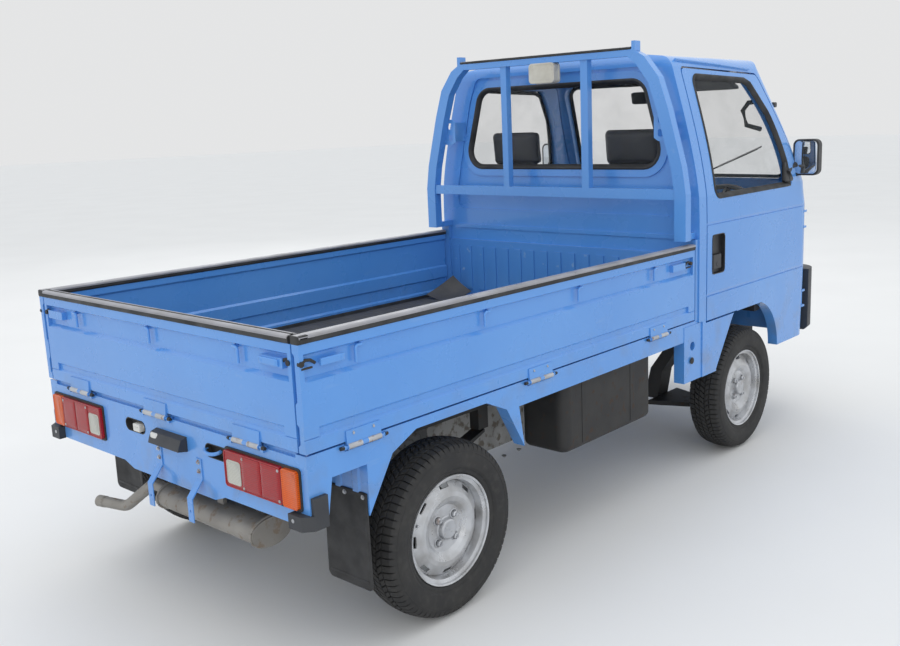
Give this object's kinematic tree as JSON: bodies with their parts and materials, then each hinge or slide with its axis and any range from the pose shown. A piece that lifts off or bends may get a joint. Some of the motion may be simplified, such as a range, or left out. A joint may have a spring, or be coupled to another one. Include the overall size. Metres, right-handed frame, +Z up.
{
  "type": "kei truck",
  "caption": "Small cab-over pickup truck with a hollow two-seat cab, drop-side load bed, rear window guard frame, steered front wheels and driven rear axle.",
  "frame": {"origin": "middle of the footprint on the ground, halfway along and across the truck", "axes": "+Z up, +Y towards the tail, +X towards the truck's left"},
  "size_m": [1.578, 3.2948, 1.7569],
  "materials": {
    "blue_paint": "gloss enamel with light wear",
    "frame_black": "satin chassis black",
    "inner_trim": "grained plastic",
    "bumper_plastic": "grained plastic",
    "rubber": "matt rubber",
    "tyre": "moulded rubber",
    "wheel_steel": "silver enamel",
    "raw_steel": "weathered steel",
    "cast": "rough casting",
    "window_glass": "clear, slight green",
    "lamp_red": "ribbed lens",
    "lamp_amber": "ribbed lens",
    "lamp_clear": "ribbed lens",
    "headlamp": "fluted glass",
    "mirror_black": "smooth plastic",
    "seat_vinyl": "embossed vinyl",
    "work_lamp_cream": "aged cream plastic"
  },
  "bodies": {
    "chassis": {"chassis_rails": "frame_black", "crossmembers": "frame_black", "cab_floor": "blue_paint", "cab_back": "blue_paint", "cab_roof": "blue_paint", "cab_front": "blue_paint", "windscreen_frame": "blue_paint", "cab_sides": "blue_paint", "windscreen": "window_glass", "rear_window": "window_glass", "dashboard": "inner_trim", "steering_column": "inner_trim", "seats": "seat_vinyl", "bed_floor": "blue_paint", "bed_mat": "rubber", "headboard": "blue_paint", "bed_skirts": "blue_paint", "rear_panel": "blue_paint", "guard_frame": "blue_paint", "work_lamp": "work_lamp_cream", "lamp_gaskets": "rubber", "lamp_red": "lamp_red", "amber_lamps": "lamp_amber", "lamp_clear": "lamp_clear", "plate_lamp": "bumper_plastic", "plate_brackets": "blue_paint", "mudflaps": "rubber", "engine_block": "cast", "fuel_tank": "frame_black", "exhaust": "raw_steel", "rear_axle": "cast", "leaf_springs": "frame_black", "front_subframe": "frame_black", "front_arms": "frame_black", "headlamps": "headlamp", "bumpers": "bumper_plastic"},
    "door_left": {"door_left": "blue_paint", "door_glass_left": "window_glass", "mirror_left": "mirror_black"},
    "door_right": {"door_right": "blue_paint", "door_glass_right": "window_glass", "mirror_right": "mirror_black"},
    "gate_left": {"gate_left": "blue_paint", "gate_trim_left": "rubber"},
    "gate_right": {"gate_right": "blue_paint", "gate_trim_right": "rubber"},
    "tailgate": {"tailgate": "blue_paint", "tailgate_trim": "rubber"},
    "knuckle_left": {"knuckle_left": "cast"},
    "knuckle_right": {"knuckle_right": "cast"},
    "steering_wheel": {"steering_wheel": "inner_trim"},
    "wheel_front_left": {"rim_front_left": "wheel_steel", "tyre_front_left": "tyre"},
    "wheel_front_right": {"rim_front_right": "wheel_steel", "tyre_front_right": "tyre"},
    "wheel_rear_left": {"rim_rear_left": "wheel_steel", "tyre_rear_left": "tyre"},
    "wheel_rear_right": {"rim_rear_right": "wheel_steel", "tyre_rear_right": "tyre"}
  },
  "joints": [
    {"name": "left_door_swing", "type": "hinge", "parent": "chassis", "child": "door_left", "pos_m": [0.685, -1.381, 0.78], "axis": [0, 0, -1], "range_deg": [0, 68]},
    {"name": "right_door_swing", "type": "hinge", "parent": "chassis", "child": "door_right", "pos_m": [-0.685, -1.381, 0.78], "axis": [0, 0, 1], "range_deg": [0, 68]},
    {"name": "left_gate_drop", "type": "hinge", "parent": "chassis", "child": "gate_left", "pos_m": [0.69, 0.6315, 0.652], "axis": [0, 1, 0], "range_deg": [0, 168]},
    {"name": "right_gate_drop", "type": "hinge", "parent": "chassis", "child": "gate_right", "pos_m": [-0.69, 0.6315, 0.652], "axis": [0, -1, 0], "range_deg": [0, 168]},
    {"name": "tailgate_drop", "type": "hinge", "parent": "chassis", "child": "tailgate", "pos_m": [0, 1.6115, 0.652], "axis": [-1, 0, 0], "range_deg": [0, 160]},
    {"name": "steer_right", "type": "hinge", "parent": "chassis", "child": "knuckle_right", "pos_m": [-0.52, -0.8295, 0.17], "axis": [0.1611, 0, 0.9869], "range_deg": [-33, 33]},
    {"name": "steer_left", "type": "hinge", "parent": "chassis", "child": "knuckle_left", "pos_m": [0.52, -0.8295, 0.17], "axis": [-0.1611, 0, 0.9869], "range_deg": [-33, 33]},
    {"name": "steering_wheel_turn", "type": "hinge", "parent": "chassis", "child": "steering_wheel", "pos_m": [-0.315, -1.19, 1.01], "axis": [0, 0.6157, 0.788], "range_deg": [-561, 561]},
    {"name": "front_left_spin", "type": "hinge", "parent": "knuckle_left", "child": "wheel_front_left", "pos_m": [0.6025, -0.8295, 0.271], "axis": [1, 0, 0], "continuous": true},
    {"name": "front_right_spin", "type": "hinge", "parent": "knuckle_right", "child": "wheel_front_right", "pos_m": [-0.6025, -0.8295, 0.271], "axis": [1, 0, 0], "continuous": true},
    {"name": "rear_left_spin", "type": "hinge", "parent": "chassis", "child": "wheel_rear_left", "pos_m": [0.6025, 1.0705, 0.271], "axis": [1, 0, 0], "continuous": true},
    {"name": "rear_right_spin", "type": "hinge", "parent": "chassis", "child": "wheel_rear_right", "pos_m": [-0.6025, 1.0705, 0.271], "axis": [1, 0, 0], "continuous": true}
  ],
  "couplings": [
    {"joint": "steer_left", "follows": "steer_right", "ratio": 1},
    {"joint": "steering_wheel_turn", "follows": "steer_right", "ratio": 17}
  ]
}
